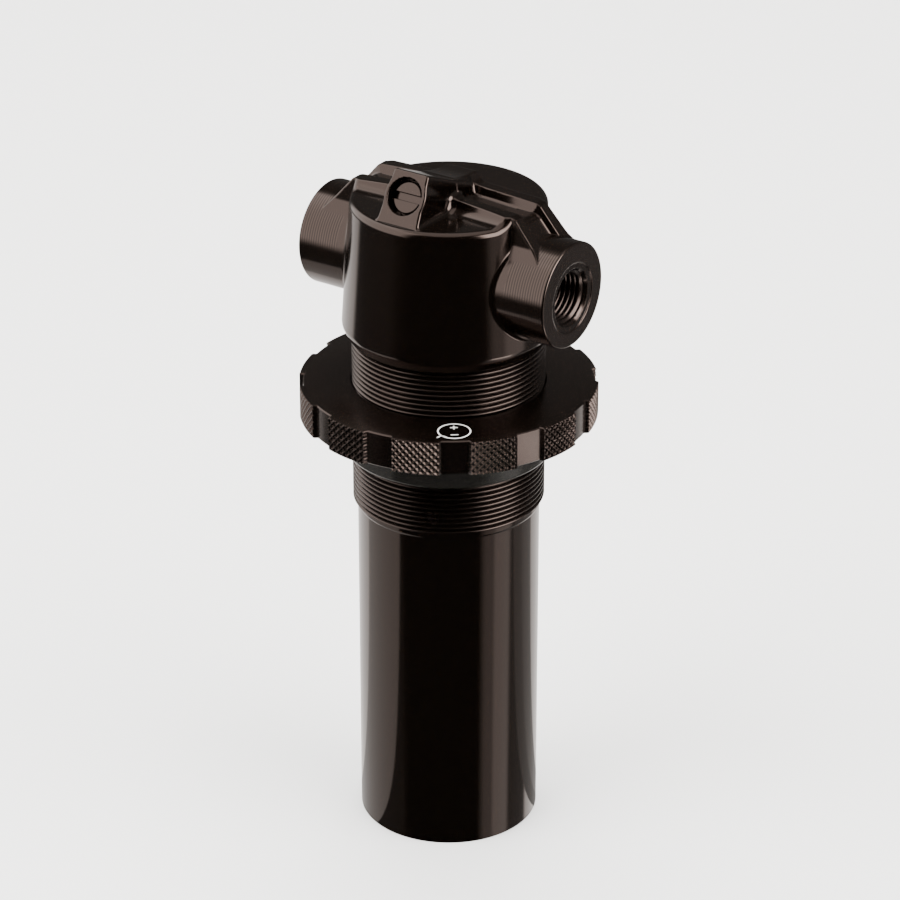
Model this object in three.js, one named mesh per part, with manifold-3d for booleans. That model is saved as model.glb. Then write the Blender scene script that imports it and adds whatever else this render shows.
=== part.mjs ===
// Damper body of a trunnion-mounted coil shock, with its spring preload ring and its gas piston.
// Millimetres, +Z up. The open lower rim of the damper tube stands on z = 0, the tube's axis is the
// Z axis, and the two threaded trunnion bores lie along X.
import * as THREE from "three";
import { mergeVertices } from "three/addons/utils/BufferGeometryUtils.js";
import Module from "manifold-3d";

const wasm = await Module();
wasm.setup();

// ---- Driving dimensions -------------------------------------------------------------------------
const GAP = 0.3; // clearance between separate pieces
const ROUND = 48; // sides of a large turned surface
const SMALL_ROUND = 24; // sides of a small turned surface
const WIRE_ROUND = 8; // sides of the section of a wire ring
const CHAMFER = 0.4;

const TUBE = { outer: 17.2, bore: 14.5, threadOuter: 18.1, threadBottom: 66.5, threadTop: 102.4 };
const SPIGOT = { outer: 17, neck: 15.6, neckBottom: 106.8, top: 108.5 };
const HEAD_SEAL_WIRE = 0.5;
const HEAD = { bottom: 101.2, skirt: 103.3, skirtRadius: 19.85, shoulderRadius: 18.2, top: 128.1, edge: 1.3 };
const TRUNNION = { width: 54, axis: 115.05, radius: 9.95 };
const BORE = { axis: 114.55, radius: 4.5, depth: 14, tip: 1.5, mouth: 6.55, mouthDepth: 0.8 };
const RIB = { inner: 2.6, outer: 5.2, centre: 130.75, kneeX: 17.6, knee: 129.6, footX: 23.2, foot: 123.2 };
const CHANNEL = { centre: 128.9, kneeX: 17.9, knee: 127.7, footX: 21.9, foot: 123.2 };
const PORT = { y: -14.02, z: 132.8, tilt: 28.9, up: 4.9, down: 5.17, halfWidth: 4.3, bevel: 0.7 };
const HUMP = { top: 132.55, front: -1.3, back: 4.3, foot: 7.5, halfWidth: 3.8 };
const PORT_HOLE = { recess: 3.55, recessDepth: 3.4, thread: 2.3, threadDepth: 10, passage: 1.2 };
const PORT_SCREW = { head: 2.95, headTop: -1, headBottom: -2.4, shank: 2, tip: -7.4 };
const SCREW_SLOT = { width: 1.4, depth: 0.9 };
const RING = { outer: 28, flat: 27.2, bottom: 85, top: 91.8, bore: 18.4, pads: 12, padAngle: 18, turn: 21.6 };
const RING_SEAL = { height: 88.4, centre: 19.3, wire: 0.8, groove: 20.5, grooveWidth: 2.3 };
const PILOT = { hub: 19.8, hubBottom: 78, flange: 24.5, flangeBottom: 83.8, top: 84.7, bore: 18.4 };
const PISTON = { outer: 14.2, bottom: 84, top: 95, crown: 89.6, cup: 10.6 };
const SEAL_GROOVE = { height: 88.6, width: 4, depth: 2.2, wire: 0.8, backUp: 0.6 };
const BAND_GROOVE = { height: 92.9, width: 2.4, depth: 1.2 };
const BLEED = { hole: 2.1, seat: 4, seatHeight: 86.6, shank: 1.8, head: 3.4, headHeight: 2.2 };
const BLEED_HEX = 2.5; // across the flats of the bleed screw's socket
const BLEED_SEAL = { centre: 2.7, wire: 0.4 };
const STOP_RING = { height: 62, wire: 0.6, centre: 14.3, groove: 15.2, grooveWidth: 1.9, split: 5 };

// ---- Finishes -----------------------------------------------------------------------------------
const FINISH = {
  blackAnodised: { color: 0x14100e, roughness: 0.28, metalness: 0.85 },
  satinSteel: { color: 0x8d8f92, roughness: 0.35, metalness: 1 },
  plainAluminium: { color: 0xb9bbbf, roughness: 0.4, metalness: 1 },
  blackRubber: { color: 0x101010, roughness: 0.75, metalness: 0 },
  blackAcetal: { color: 0x1b1917, roughness: 0.35, metalness: 0 },
  greyAcetal: { color: 0x3a3b3d, roughness: 0.45, metalness: 0 },
  bronzePtfe: { color: 0x6b5b35, roughness: 0.55, metalness: 0.2 },
};

// ---- Solids and cuts ----------------------------------------------------------------------------
function toSolid(geometry) {
  const bare = geometry.clone();
  bare.deleteAttribute("normal");
  bare.deleteAttribute("uv");
  const merged = mergeVertices(bare, 1e-4);
  const mesh = new wasm.Mesh({
    numProp: 3,
    vertProperties: new Float32Array(merged.attributes.position.array),
    triVerts: new Uint32Array(merged.index.array),
  });
  return new wasm.Manifold(mesh);
}

function toGeometry(solid) {
  const { vertProperties, triVerts } = solid.getMesh();
  const geometry = new THREE.BufferGeometry();
  geometry.setAttribute("position", new THREE.BufferAttribute(vertProperties, 3));
  geometry.setIndex(new THREE.BufferAttribute(triVerts, 1));
  geometry.computeVertexNormals();
  return geometry;
}

const joinAll = (geometries) => geometries.map(toSolid).reduce((whole, piece) => whole.add(piece));

const cutAll = (solid, geometries) =>
  geometries.map(toSolid).reduce((rest, tool) => rest.subtract(tool), solid);

// ---- Shape builders -----------------------------------------------------------------------------
// A turned solid about Z from [radius, height] points, listed anticlockwise as seen with the radius
// to the right and the height up.
function turned(points, sides = ROUND) {
  const profile = points.map(([radius, height]) => new THREE.Vector2(radius, height));
  return new THREE.LatheGeometry(profile, sides).rotateX(Math.PI / 2);
}

// A turned ring whose section is the closed polygon of the points.
const turnedRing = (points, sides = ROUND) => turned([...points, points[0]], sides);

// A plain round bar along Z.
function bar(radius, bottom, top, sides = SMALL_ROUND) {
  return turned([[0, bottom], [radius, bottom], [radius, top], [0, top]], sides);
}

// A rectangular ring about Z.
function band(inner, outer, bottom, top, sides = ROUND) {
  return turnedRing([[inner, bottom], [outer, bottom], [outer, top], [inner, top]], sides);
}

// A round-wire ring about Z.
function wireRing(centre, wire, height, sides = ROUND) {
  return new THREE.TorusGeometry(centre, wire, WIRE_ROUND, sides).translate(0, 0, height);
}

// Points of a quarter round in a turned profile, from the side wall up to the flat top.
function roundedEdge(centreRadius, centreHeight, radius, steps = 4) {
  return Array.from({ length: steps + 1 }, (_, step) => {
    const angle = (Math.PI / 2) * (step / steps);
    return [centreRadius + radius * Math.cos(angle), centreHeight + radius * Math.sin(angle)];
  });
}

// A prism along Y between two depths, from an outline of [x, z] points.
function prismAlongY(outline, near, far) {
  const shape = new THREE.Shape(outline.map(([x, z]) => new THREE.Vector2(x, z)));
  const prism = new THREE.ExtrudeGeometry(shape, { depth: far - near, bevelEnabled: false });
  return prism.rotateX(Math.PI / 2).translate(0, far, 0);
}

// A prism along X, centred on x = 0, from an outline of [y, z] points.
function prismAlongX(outline, width) {
  const shape = new THREE.Shape(outline.map(([y, z]) => new THREE.Vector2(y, z)));
  const prism = new THREE.ExtrudeGeometry(shape, { depth: width, bevelEnabled: false });
  return prism.translate(0, 0, -width / 2).rotateX(Math.PI / 2).rotateZ(Math.PI / 2);
}

const alongX = (geometry, height) => geometry.rotateY(Math.PI / 2).translate(0, 0, height);

// ---- The port's own frame: its Z axis leaves the middle of the slanted face ----------------------
const PORT_TILT = THREE.MathUtils.degToRad(PORT.tilt);
const PORT_FRAME = new THREE.Matrix4()
  .makeRotationX(Math.PI / 2 - PORT_TILT)
  .setPosition(0, PORT.y, PORT.z);

// A point of the port's middle plane, up the slanted face and out along its axis, as [y, z].
function portPoint(up, out) {
  const point = new THREE.Vector3(0, up, out).applyMatrix4(PORT_FRAME);
  return [point.y, point.z];
}

// ---- Trunnion head ------------------------------------------------------------------------------
// The drafted round body of the head, solid.
function headCore() {
  const edgeCentre = HEAD.shoulderRadius - HEAD.edge;
  return turned([
    [0, HEAD.bottom],
    [HEAD.skirtRadius - 1.2, HEAD.bottom],
    [HEAD.skirtRadius, HEAD.skirt],
    ...roundedEdge(edgeCentre, HEAD.top - HEAD.edge, HEAD.edge),
    [0, HEAD.top],
  ]);
}

function trunnionBosses() {
  const half = TRUNNION.width / 2;
  const bosses = turned([
    [0, -half],
    [TRUNNION.radius - CHAMFER, -half],
    [TRUNNION.radius, -half + CHAMFER],
    [TRUNNION.radius, half - CHAMFER],
    [TRUNNION.radius - CHAMFER, half],
    [0, half],
  ]);
  return alongX(bosses, TRUNNION.axis);
}

// The outline, seen along Y, of a bridge that runs out level from the centre and then drops to
// the bosses on both sides.
function bridgeOutline({ centre, kneeX, knee, footX, foot }) {
  const half = [[footX, TRUNNION.axis], [footX, foot], [kneeX, knee], [0, centre]];
  const mirrored = half.slice(0, -1).reverse().map(([x, z]) => [-x, z]);
  return [...half, ...mirrored];
}

// The ridge along Y that carries the port at its front end.
function portRidge() {
  const sunk = HEAD.top - 10;
  const outline = [
    portPoint(-PORT.down - 1, 0),
    [PORT.y, sunk],
    [HUMP.front, sunk],
    [HUMP.front, HUMP.top],
    portPoint(PORT.up, -PORT.bevel),
    portPoint(PORT.up - PORT.bevel, 0),
  ];
  return prismAlongX(outline, 2 * PORT.halfWidth);
}

// The raised middle of the bridge, behind the port's ridge.
function middleHump() {
  const sunk = HEAD.top - 10;
  const outline = [
    [HUMP.front - 1, sunk],
    [HUMP.foot, sunk],
    [HUMP.foot, HEAD.top],
    [HUMP.back, HUMP.top],
    [HUMP.front - 1, HUMP.top],
  ];
  return prismAlongX(outline, 2 * HUMP.halfWidth);
}

// One trunnion bore with its shallow countersink, on the +X or -X side, a little below the boss's axis.
function trunnionBore(side) {
  const end = TRUNNION.width / 2;
  const bore = turned([
    [0, end - BORE.depth],
    [BORE.radius, end - BORE.depth + BORE.tip],
    [BORE.radius, end - BORE.mouthDepth],
    [BORE.mouth, end],
    [BORE.mouth, end + 1],
    [0, end + 1],
  ], SMALL_ROUND);
  if (side < 0) bore.rotateX(Math.PI);
  return alongX(bore, BORE.axis);
}

// The stepped port: recess for the screw's head and seal, thread, and the passage to the gas space.
function portHole() {
  const { recess, recessDepth, thread, threadDepth, passage } = PORT_HOLE;
  const hole = turned([
    [0, -threadDepth - 6.5],
    [passage, -threadDepth - 6.5],
    [passage, -threadDepth],
    [thread, -threadDepth],
    [thread, -recessDepth],
    [recess, -recessDepth],
    [recess, 2],
    [0, 2],
  ], SMALL_ROUND);
  return hole.applyMatrix4(PORT_FRAME);
}

function trunnionHead() {
  const socket = SPIGOT.outer + GAP;
  const body = joinAll([
    headCore(),
    trunnionBosses(),
    prismAlongY(bridgeOutline(RIB), RIB.inner, RIB.outer),
    prismAlongY(bridgeOutline(RIB), -RIB.outer, -RIB.inner),
    prismAlongY(bridgeOutline(CHANNEL), -RIB.inner - 0.1, RIB.inner + 0.1),
    portRidge(),
    middleHump(),
  ]);
  const hollow = turned([
    [0, HEAD.bottom - 1],
    [TUBE.threadOuter + GAP, HEAD.bottom - 1],
    [TUBE.threadOuter + GAP, TUBE.threadTop + GAP],
    [socket, TUBE.threadTop + GAP],
    [socket, SPIGOT.top + GAP],
    [0, SPIGOT.top + GAP],
  ]);
  const riser = bar(PORT_HOLE.passage, SPIGOT.top, PORT.z - 7);
  return cutAll(body, [hollow, riser, trunnionBore(1), trunnionBore(-1), portHole()]);
}

// ---- Damper tube --------------------------------------------------------------------------------
function damperTube() {
  const { outer, bore, threadOuter, threadBottom, threadTop } = TUBE;
  const { height, groove, grooveWidth } = STOP_RING;
  const socketEdge = 1;
  return turnedRing([
    [bore + socketEdge, 0],
    [outer - 0.2, 0],
    [outer, 0.2],
    [outer, threadBottom],
    [threadOuter, threadBottom + threadOuter - outer],
    [threadOuter, threadTop - CHAMFER],
    [threadOuter - CHAMFER, threadTop],
    [SPIGOT.outer, threadTop],
    [SPIGOT.outer, SPIGOT.neckBottom],
    [SPIGOT.neck, SPIGOT.neckBottom],
    [SPIGOT.neck, SPIGOT.top],
    [bore, SPIGOT.top],
    [bore, height + grooveWidth / 2],
    [groove, height + grooveWidth / 2],
    [groove, height - grooveWidth / 2],
    [bore, height - grooveWidth / 2],
    [bore, socketEdge],
  ]);
}

function headSeal() {
  const centre = (SPIGOT.neck + SPIGOT.outer + GAP) / 2;
  return wireRing(centre, HEAD_SEAL_WIRE, (SPIGOT.neckBottom + SPIGOT.top) / 2);
}

// The split wire ring that keeps the gas piston out of the main piston's stroke.
function pistonStopRing() {
  const { centre, wire, height, split } = STOP_RING;
  const gap = new THREE.BoxGeometry(4, split, 4).translate(centre, 0, height);
  return cutAll(toSolid(wireRing(centre, wire, height)), [gap]);
}

// ---- Preload ring -------------------------------------------------------------------------------
// The ring's outline from above: raised grip pads with lower flats between them.
function ringOutline() {
  const pitch = THREE.MathUtils.degToRad(360 / RING.pads);
  const pad = THREE.MathUtils.degToRad(RING.padAngle);
  const first = THREE.MathUtils.degToRad(RING.turn - 90);
  const shape = new THREE.Shape();
  for (let index = 0; index < RING.pads; index += 1) {
    const middle = first + index * pitch;
    shape.absarc(0, 0, RING.outer, middle - pad / 2, middle + pad / 2);
    shape.absarc(0, 0, RING.flat, middle + pad / 2 + 0.02, middle + pitch - pad / 2 - 0.02);
  }
  shape.closePath();
  return shape;
}

function preloadRing() {
  const { groove, grooveWidth, height } = RING_SEAL;
  const outer = new THREE.ExtrudeGeometry(ringOutline(), {
    depth: RING.top - RING.bottom - 2 * CHAMFER,
    bevelThickness: CHAMFER,
    bevelSize: CHAMFER,
    bevelOffset: -CHAMFER,
    bevelSegments: 1,
    curveSegments: 4,
  }).translate(0, 0, RING.bottom + CHAMFER);
  const bore = turned([
    [0, RING.bottom - 1],
    [RING.bore + CHAMFER, RING.bottom - 1],
    [RING.bore + CHAMFER, RING.bottom],
    [RING.bore, RING.bottom + CHAMFER],
    [RING.bore, RING.top - CHAMFER],
    [RING.bore + CHAMFER, RING.top],
    [RING.bore + CHAMFER, RING.top + 1],
    [0, RING.top + 1],
  ]);
  const sealGroove = band(RING.bore - 1, groove, height - grooveWidth / 2, height + grooveWidth / 2);
  return cutAll(toSolid(outer), [bore, sealGroove]);
}

const ringSeal = () => wireRing(RING_SEAL.centre, RING_SEAL.wire, RING_SEAL.height);

// The flanged sleeve that centres the coil spring and lets the ring turn on its end.
function springPilot() {
  const { hub, hubBottom, flange, flangeBottom, top, bore } = PILOT;
  return turnedRing([
    [bore, hubBottom],
    [hub - CHAMFER, hubBottom],
    [hub, hubBottom + CHAMFER],
    [hub, flangeBottom],
    [flange, flangeBottom],
    [flange, top],
    [bore, top],
  ]);
}

// ---- Gas-port screw, seal and pellet, in the port's own frame -----------------------------------
function portScrew() {
  const { head, headTop, headBottom, shank, tip } = PORT_SCREW;
  const blank = turned([
    [0, tip],
    [shank - CHAMFER, tip],
    [shank, tip + CHAMFER],
    [shank, headBottom],
    [head, headBottom],
    [head, headTop - 0.15],
    [head - 0.15, headTop],
    [0, headTop],
  ], SMALL_ROUND);
  const driverSlot = new THREE.BoxGeometry(3 * head, SCREW_SLOT.width, 2 * SCREW_SLOT.depth);
  driverSlot.translate(0, 0, headTop);
  return cutAll(toSolid(blank), [driverSlot]);
}

const portSeal = () =>
  wireRing((PORT_SCREW.shank + PORT_HOLE.recess) / 2, 0.35, PORT_SCREW.headBottom - 0.5, SMALL_ROUND);

const portPellet = () => bar(PORT_HOLE.thread - GAP, -PORT_HOLE.threadDepth + GAP, PORT_SCREW.tip - GAP);

// ---- Gas piston ---------------------------------------------------------------------------------
function gasPiston() {
  const { outer, bottom, top, crown, cup } = PISTON;
  const sealRoot = outer - SEAL_GROOVE.depth;
  const bandRoot = outer - BAND_GROOVE.depth;
  const groove = ({ height, width }, root) => [
    [outer, height - width / 2],
    [root, height - width / 2],
    [root, height + width / 2],
    [outer, height + width / 2],
  ];
  return turnedRing([
    [BLEED.hole, bottom],
    [outer - CHAMFER, bottom],
    [outer, bottom + CHAMFER],
    ...groove(SEAL_GROOVE, sealRoot),
    ...groove(BAND_GROOVE, bandRoot),
    [outer, top],
    [cup, top],
    [cup - 1.2, crown],
    [BLEED.seat, crown],
    [BLEED.seat, BLEED.seatHeight],
    [BLEED.hole, BLEED.seatHeight],
  ]);
}

const pistonSeal = () =>
  wireRing(PISTON.outer - SEAL_GROOVE.wire, SEAL_GROOVE.wire, SEAL_GROOVE.height);

// A flat ring beside the piston's seal, above it (+1) or below it (-1).
function backUpRing(side) {
  const { height, wire, backUp, depth } = SEAL_GROOVE;
  const middle = height + side * (wire + GAP + backUp / 2);
  return band(PISTON.outer - depth + GAP, PISTON.outer, middle - backUp / 2, middle + backUp / 2);
}

function guideBand() {
  const { height, width, depth } = BAND_GROOVE;
  const half = width / 2 - GAP;
  return band(PISTON.outer - depth + GAP, PISTON.outer, height - half, height + half);
}

function bleedScrew() {
  const { seatHeight, shank, head, headHeight } = BLEED;
  const headBottom = seatHeight + 2 * (GAP + BLEED_SEAL.wire);
  const headTop = headBottom + headHeight;
  const blank = turned([
    [0, PISTON.bottom + CHAMFER],
    [shank, PISTON.bottom + CHAMFER],
    [shank, headBottom],
    [head, headBottom],
    [head, headTop],
    [0, headTop],
  ], SMALL_ROUND);
  const socket = bar(BLEED_HEX / Math.sqrt(3), headTop - headHeight / 2, headTop + 1, 6);
  return cutAll(toSolid(blank), [socket]);
}

const bleedSeal = () =>
  wireRing(BLEED_SEAL.centre, BLEED_SEAL.wire, BLEED.seatHeight + GAP + BLEED_SEAL.wire, SMALL_ROUND);

// ---- The object ---------------------------------------------------------------------------------
function piece(name, shape, finish) {
  const geometry = shape.isBufferGeometry ? shape : toGeometry(shape);
  const mesh = new THREE.Mesh(geometry, new THREE.MeshStandardMaterial(finish));
  mesh.name = name;
  return mesh;
}

function groupOf(...pieces) {
  const group = new THREE.Group();
  group.add(...pieces);
  return group;
}

const portGroup = groupOf(
  piece("port_screw", portScrew(), FINISH.blackAnodised),
  piece("port_screw_seal", portSeal(), FINISH.blackRubber),
  piece("port_pellet", portPellet(), FINISH.blackRubber),
);
portGroup.applyMatrix4(PORT_FRAME);

const ringGroup = groupOf(
  piece("preload_ring", preloadRing(), FINISH.blackAnodised),
  piece("ring_friction_seal", ringSeal(), FINISH.blackRubber),
  piece("spring_pilot", springPilot(), FINISH.blackAcetal),
);

const pistonGroup = groupOf(
  piece("gas_piston", gasPiston(), FINISH.plainAluminium),
  piece("piston_seal", pistonSeal(), FINISH.blackRubber),
  piece("upper_back_up_ring", backUpRing(1), FINISH.greyAcetal),
  piece("lower_back_up_ring", backUpRing(-1), FINISH.greyAcetal),
  piece("piston_guide_band", guideBand(), FINISH.bronzePtfe),
  piece("piston_bleed_screw", bleedScrew(), FINISH.satinSteel),
  piece("bleed_screw_seal", bleedSeal(), FINISH.blackRubber),
);

const damperBody = groupOf(
  piece("trunnion_head", trunnionHead(), FINISH.blackAnodised),
  piece("damper_tube", damperTube(), FINISH.blackAnodised),
  piece("head_seal", headSeal(), FINISH.blackRubber),
  piece("piston_stop_ring", pistonStopRing(), FINISH.satinSteel),
  portGroup,
  ringGroup,
  pistonGroup,
);
damperBody.name = "trunnion_damper_body";

export default damperBody;
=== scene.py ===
import math

import bpy
import numpy as np
from mathutils import Matrix, Vector


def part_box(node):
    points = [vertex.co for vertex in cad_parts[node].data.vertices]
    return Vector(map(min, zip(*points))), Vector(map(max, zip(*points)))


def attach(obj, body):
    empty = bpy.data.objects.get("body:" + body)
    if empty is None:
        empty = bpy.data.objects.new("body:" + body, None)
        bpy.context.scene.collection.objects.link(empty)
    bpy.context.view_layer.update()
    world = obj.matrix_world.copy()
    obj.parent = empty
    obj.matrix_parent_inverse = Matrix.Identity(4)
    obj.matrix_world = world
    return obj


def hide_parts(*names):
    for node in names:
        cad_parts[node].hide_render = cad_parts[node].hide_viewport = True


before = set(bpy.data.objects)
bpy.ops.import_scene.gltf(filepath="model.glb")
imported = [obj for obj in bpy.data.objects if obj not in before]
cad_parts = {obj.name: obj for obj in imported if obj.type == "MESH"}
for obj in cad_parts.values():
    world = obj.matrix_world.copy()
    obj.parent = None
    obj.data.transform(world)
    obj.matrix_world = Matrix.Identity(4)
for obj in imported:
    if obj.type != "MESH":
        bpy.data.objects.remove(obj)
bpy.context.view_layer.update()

# Lengths are millimetres in the mesh code and become metres when a mesh is made.
MM = 0.001
TURN = 2 * math.pi
ROUND = 192  # sides of a turned surface

# ---- Sizes -----------------------------------------------------------------------------------


def node_box(node):
    """A CAD node's lowest and highest corners in millimetres."""
    low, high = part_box(node)
    return np.array(low) / MM, np.array(high) / MM


head_low, head_high = node_box("trunnion_head")
ring_low, ring_high = node_box("preload_ring")

# Trunnion bosses and their bores, which lie a little below the bosses' axis
TRUNNION_HALF = head_high[0]
TRUNNION_AXIS = 115.05
BOSS_RADIUS = 9.95
BOSS_FILLET = 0.6
BORE_AXIS = 114.55
BORE_MAJOR = 5.0
BORE_MINOR = 4.46
BORE_DEPTH = 14.0
BORE_START = 1.2  # from the bore's inner end to its thread
MOUTH_RADIUS = 6.55
MOUTH_DEPTH = 0.8
MOUTH_RECESS = 0.25
FINE_PITCH = 1.0
LINES_START = 19.3  # where the turning lines on the bosses start
LINES_PITCH = 0.52
LINES_CONTRAST = 0.36

# The head's turned middle, and the hollow under it
HEAD_STEP = 0.22  # grid spacing of its mesh
HEAD_BOTTOM = head_low[2]
HEAD_SKIRT = 103.3
HEAD_SKIRT_RADIUS = 19.85
HEAD_FOOT_SLOPE = math.atan2(2.1, 1.2)
HEAD_TOP = 128.1
HEAD_DRAFT = math.radians(4.0)
HEAD_RIM = 1.25
SOCKET_RADIUS = 18.4
SOCKET_NARROW = 17.3
SOCKET_TOP = 108.8

# The bridge along X: a level crest, a knee, a ramp down to each boss, and a channel between two ribs
CREST_CENTRE = 130.75
KNEE_X = 17.6
KNEE_Z = 129.6
CREST_SLOPE = math.atan2(1.15, KNEE_X)
RAMP_SLOPE = math.radians(48.8)
RIB_INNER = 2.9
RIB_OUTER = 5.15
RIB_FILLET = 1.3
RIB_REACH = 24.8
BRIDGE_FILLET = 1.7
BRIDGE_SPREAD = 0.1  # how much that fillet grows for each millimetre outwards
BRIDGE_ROOT = HEAD_TOP - 14
CHANNEL_DEPTH = 1.87
CHANNEL_DRAFT = 0.43
CHANNEL_START = 3.3
CHANNEL_CORNER = 0.5
RAMP_DEPTH = 1.5

# The raised block in the bridge's middle
HUMP_TOP = 132.5
HUMP_FRONT = -2.3
HUMP_BACK = 4.4
HUMP_HALF = 3.15
HUMP_FILLET = 1.2
HUMP_ROOT = HEAD_TOP - 8

# The ridge along Y, whose slanted front face is the gas port
PORT_TILT = math.radians(28.9)
PORT_CENTRE = np.array([0.0, -14.02, 132.8])
PORT_AXIS = np.array([0.0, -math.cos(PORT_TILT), math.sin(PORT_TILT)])
PORT_UP = np.array([0.0, math.sin(PORT_TILT), math.cos(PORT_TILT)])
PORT_TOP = 4.63
PORT_FOOT = 6.2
PORT_FILLET = 0.85
PORT_SPREAD = 0.08  # how much the ridge's fillet grows for each millimetre backwards
PORT_HALF = 4.0
PORT_BOSS = 4.3
PORT_RECESS = 3.5
RIDGE_SLOPE = math.radians(23.2)
RIDGE_BACK = 1.0

# The port's screw
SCREW_STEP = 0.08  # grid spacing of its mesh
SCREW_RADIUS = 2.92
SCREW_TOP = -1.0
SCREW_HEAD_END = -2.4
SHANK_RADIUS = 2.0
SHANK_END = -7.4
SLOT_HALF = 0.7
SLOT_DEPTH = 0.9

# The tube, with its thread and its spigot in the head
TUBE_RADIUS = 17.2
TUBE_BORE = 14.5
TUBE_TOP = 108.5
SPIGOT_RADIUS = 17.0
SPIGOT_TOP = 106.8
NECK_RADIUS = 15.6
THREAD_CREST = 18.1
THREAD_ROOT = 17.5
THREAD_BOTTOM = 66.5
THREAD_TOP = 102.4
STOP_GROOVE = 62.0
STOP_GROOVE_RADIUS = 15.2
STOP_GROOVE_HALF = 0.95

# The preload ring
RING_RADIUS = ring_high[0]
RING_BOTTOM = ring_low[2]
RING_TOP = ring_high[2]
RING_BORE = 18.16
RING_FLAT = 27.2
RING_BEVEL = 25.8
RING_GROOVE = 88.4
RING_GROOVE_RADIUS = 20.5
RING_GROOVE_HALF = 1.15
PADS = 12
PAD_PITCH = TURN / PADS
PAD_ANGLE = math.radians(18)
PAD_FIRST = math.radians(21.6) - math.pi / 2
PAD_STEP = 0.35
PAD_COLUMNS = 72
FLAT_COLUMNS = 12
KNURL_ROWS = 84
KNURL_PITCH = 0.95
KNURL_DEPTH = 0.35

# The mark printed on the ring's top
RING_MARK = 23.2  # how far out it is
MARK_TURN = math.atan2(-18.6, 13.87)
MARK_RADIUS = 2.95
MARK_WIDTH = 0.24
MARK_ARROW = math.radians(215)
MARK_SIGN = 0.7  # half the length of its plus and minus
MARK_ARM = 1.1
MARK_LIFT = 0.015

# The spring pilot: a hub below a flange
PILOT_BORE = 18.4
PILOT_HUB = 19.8
PILOT_BOTTOM = 78.0
PILOT_FLANGE = 24.5
PILOT_FLANGE_BOTTOM = 83.8
PILOT_TOP = 84.7

# ---- Mesh builders ---------------------------------------------------------------------------


def make_object(name, points, faces, normals=None):
    """A mesh object from points in millimetres, smooth shaded, with its own normals if they are given."""
    mesh = bpy.data.meshes.new(name)
    mesh.from_pydata((np.asarray(points) * MM).tolist(), [], faces)
    mesh.polygons.foreach_set("use_smooth", [True] * len(mesh.polygons))
    if normals is not None:
        mesh.normals_split_custom_set_from_vertices(np.asarray(normals).tolist())
    mesh.update()
    piece = bpy.data.objects.new(name, mesh)
    bpy.context.scene.collection.objects.link(piece)
    return piece


def grid_faces(rows, columns, wrap_rows=False, wrap_columns=False):
    """Quads of a grid of points numbered row by row."""
    row_count = rows if wrap_rows else rows - 1
    column_count = columns if wrap_columns else columns - 1
    faces = []
    for row in range(row_count):
        here = row * columns
        above = ((row + 1) % rows) * columns
        for column in range(column_count):
            side = (column + 1) % columns
            faces.append((here + column, here + side, above + side, above + column))
    return faces


def rounded_profile(corners, radius, steps=4):
    """A closed outline of [r, z] corners with every corner turned into a small arc."""
    points = []
    count = len(corners)
    for index in range(count):
        corner = np.array(corners[index], float)
        before = np.array(corners[index - 1], float) - corner
        after = np.array(corners[(index + 1) % count], float) - corner
        reach = min(radius, 0.45 * np.linalg.norm(before), 0.45 * np.linalg.norm(after))
        start = corner + before / np.linalg.norm(before) * reach
        end = corner + after / np.linalg.norm(after) * reach
        for step in range(steps + 1):
            t = step / steps
            points.append((1 - t) ** 2 * start + 2 * t * (1 - t) * corner + t**2 * end)
    return np.array(points)


def turned_ring(name, corners, edge):
    """A turned ring about Z from an anticlockwise outline of [r, z] corners."""
    profile = rounded_profile(corners, edge)
    angles = np.arange(ROUND) * TURN / ROUND
    points = np.stack(
        [
            np.outer(profile[:, 0], np.cos(angles)),
            np.outer(profile[:, 0], np.sin(angles)),
            np.repeat(profile[:, 1:2], ROUND, axis=1),
        ],
        axis=-1,
    )
    faces = grid_faces(len(profile), ROUND, wrap_rows=True, wrap_columns=True)
    piece = make_object(name, points.reshape(-1, 3), faces)
    sharpen(piece)
    return piece


def sharpen(piece, angle=math.radians(35)):
    """Keeps smooth shading from running over edges sharper than the angle."""
    piece.data.set_sharp_from_angle(angle=angle)


def place(piece, matrix):
    """Moves a piece's mesh by a matrix in metres, leaving its object at the origin."""
    piece.data.transform(matrix)
    return piece


# ---- The head, by signed distance ------------------------------------------------------------


def both(a, b, radius):
    """The overlap of two solids, its outer edges rounded by the radius."""
    return np.minimum(np.maximum(a, b), -radius) + np.hypot(
        np.maximum(a + radius, 0), np.maximum(b + radius, 0)
    )


def either(a, b, radius):
    """The union of two solids, its inner corners filled by the radius."""
    return np.maximum(np.minimum(a, b), radius) - np.hypot(
        np.maximum(radius - a, 0), np.maximum(radius - b, 0)
    )


def without(a, b, radius):
    """The first solid with the second cut out, the new edge rounded by the radius."""
    return both(a, -b, radius)


def half_plane(across, height, slope, through):
    """Distance above a line that falls away at a slope from the point (across, height)."""
    return (across - through[0]) * math.sin(slope) + (height - through[1]) * math.cos(slope)


def core_side(x, y, z):
    """Distance outside the head's slightly tapered side."""
    slope = math.pi / 2 - HEAD_DRAFT
    return half_plane(np.hypot(x, y), z, slope, (HEAD_SKIRT_RADIUS, HEAD_SKIRT))


def core_field(x, y, z):
    """The turned middle of the head: a slightly tapered cup, chamfered below and rounded above."""
    foot = half_plane(np.hypot(x, y), -z, HEAD_FOOT_SLOPE, (HEAD_SKIRT_RADIUS, -HEAD_SKIRT))
    cup = both(both(core_side(x, y, z), z - HEAD_TOP, HEAD_RIM), foot, 0.4)
    return both(cup, HEAD_BOTTOM - z, 0.2)


def boss_field(x, y, z):
    """The trunnion bosses: one cylinder along X."""
    return both(np.hypot(y, z - TRUNNION_AXIS) - BOSS_RADIUS, np.abs(x) - TRUNNION_HALF, 0.35)


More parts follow.
